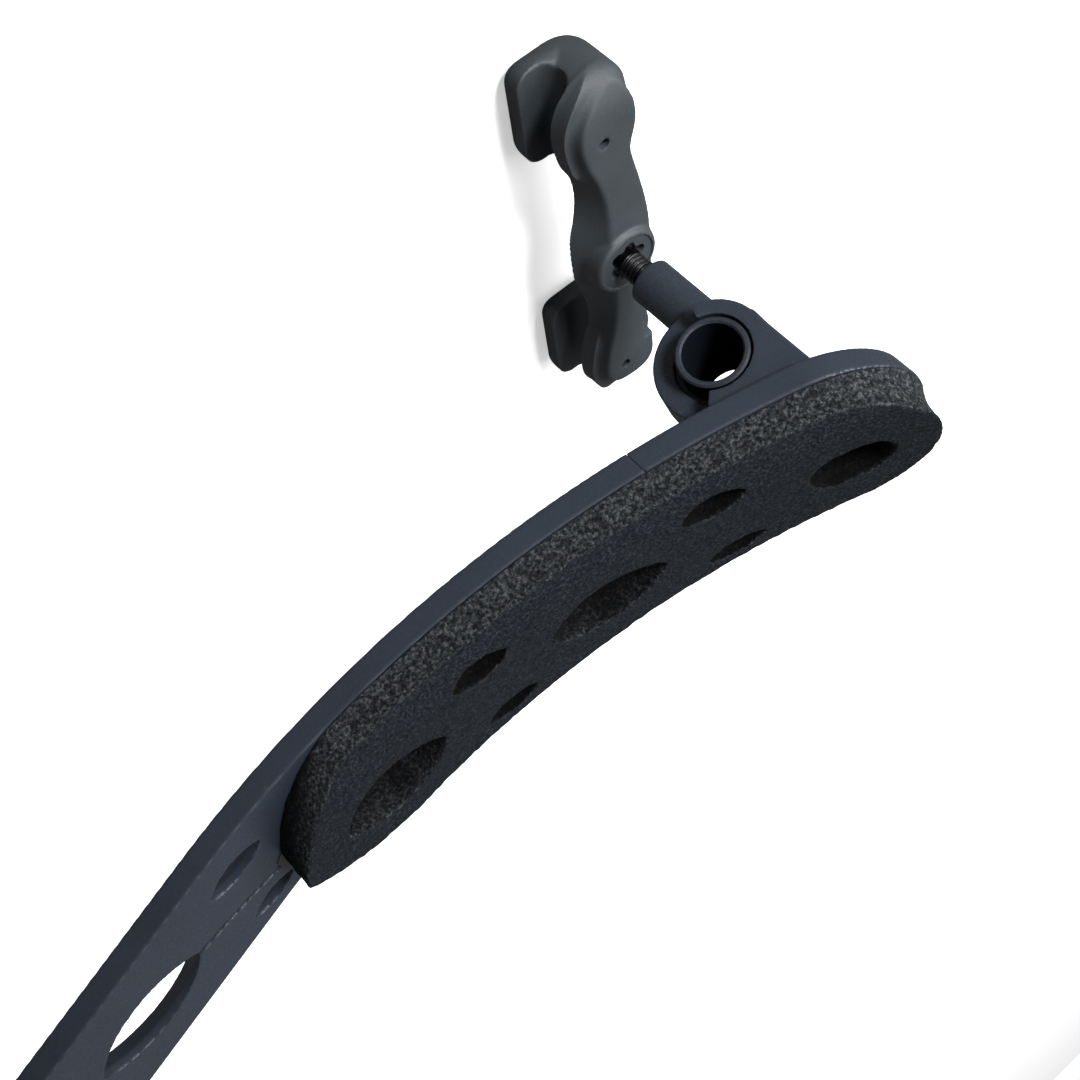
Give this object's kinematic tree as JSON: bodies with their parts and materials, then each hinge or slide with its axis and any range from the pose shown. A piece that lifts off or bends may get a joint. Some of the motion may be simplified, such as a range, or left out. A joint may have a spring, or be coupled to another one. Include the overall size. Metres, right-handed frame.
{
  "type": "violin shoulder rest",
  "caption": "Curved violin shoulder rest: a perforated bar with foam pads and folding, height-adjustable fork feet with soft claws.",
  "frame": {"origin": "midway between the two feet, on the plane of the violin's back, which the seats of the four claws rest on", "axes": "+X along the bar to the shoulder end, +Y towards the violin's neck, +Z away from the violin's back to the player"},
  "size_m": [0.2326, 0.0614, 0.0607],
  "materials": {
    "bar_plastic": "satin moulded plastic, dark blue-grey",
    "hinge_plastic": "finely textured moulded plastic",
    "foam": "open-cell foam, coarse cut sides",
    "adhesive": "double-sided adhesive film",
    "washer": "fibre washer",
    "brass": "turned",
    "black_steel": "black oxide",
    "plain_steel": "zinc plated",
    "core_plastic": "glass-filled nylon",
    "soft_rubber": "soft-touch matte"
  },
  "bodies": {
    "bar": {"bar_centre": "bar_plastic", "shoulder_end_plate": "bar_plastic", "chest_end_plate": "bar_plastic", "shoulder_foam_pad": "foam", "chest_foam_pad": "foam", "shoulder_pad_adhesive": "adhesive", "chest_pad_adhesive": "adhesive", "shoulder_hinge_sleeve": "hinge_plastic", "chest_hinge_sleeve": "hinge_plastic", "shoulder_friction_washer": "washer", "chest_friction_washer": "washer"},
    "shoulder_stem": {"shoulder_swivel_stem": "hinge_plastic", "shoulder_stem_insert": "brass"},
    "shoulder_screw": {"shoulder_height_screw": "black_steel"},
    "shoulder_foot": {"shoulder_screw_anchor": "plain_steel", "shoulder_fork_core": "core_plastic", "shoulder_fork_cover": "soft_rubber"},
    "chest_stem": {"chest_swivel_stem": "hinge_plastic", "chest_stem_insert": "brass"},
    "chest_screw": {"chest_height_screw": "black_steel"},
    "chest_foot": {"chest_screw_anchor": "plain_steel", "chest_fork_core": "core_plastic", "chest_fork_cover": "soft_rubber"}
  },
  "joints": [
    {"name": "shoulder_fold", "type": "hinge", "parent": "bar", "child": "shoulder_stem", "pos_m": [0.1, 0, 0.0265], "axis": [0, 1, 0], "range_deg": [0, 66]},
    {"name": "shoulder_height", "type": "slide", "parent": "shoulder_stem", "child": "shoulder_screw", "axis": [0, 0, -1], "range_m": [-0.0021, 0.0056]},
    {"name": "shoulder_turn", "type": "hinge", "parent": "shoulder_screw", "child": "shoulder_foot", "pos_m": [0.103, 0, 0], "axis": [0, 0, -1], "range_deg": [-1080.1, 2880.1]},
    {"name": "chest_fold", "type": "hinge", "parent": "bar", "child": "chest_stem", "pos_m": [-0.1, 0, 0.0265], "axis": [0, -1, 0], "range_deg": [0, 66]},
    {"name": "chest_height", "type": "slide", "parent": "chest_stem", "child": "chest_screw", "axis": [0, 0, -1], "range_m": [-0.0021, 0.0056]},
    {"name": "chest_turn", "type": "hinge", "parent": "chest_screw", "child": "chest_foot", "pos_m": [-0.103, 0, 0], "axis": [0, 0, -1], "range_deg": [-1080.1, 2880.1]}
  ],
  "couplings": [
    {"joint": "shoulder_turn", "follows": "shoulder_height", "rad_per_m": 8976},
    {"joint": "chest_turn", "follows": "chest_height", "rad_per_m": 8976}
  ]
}
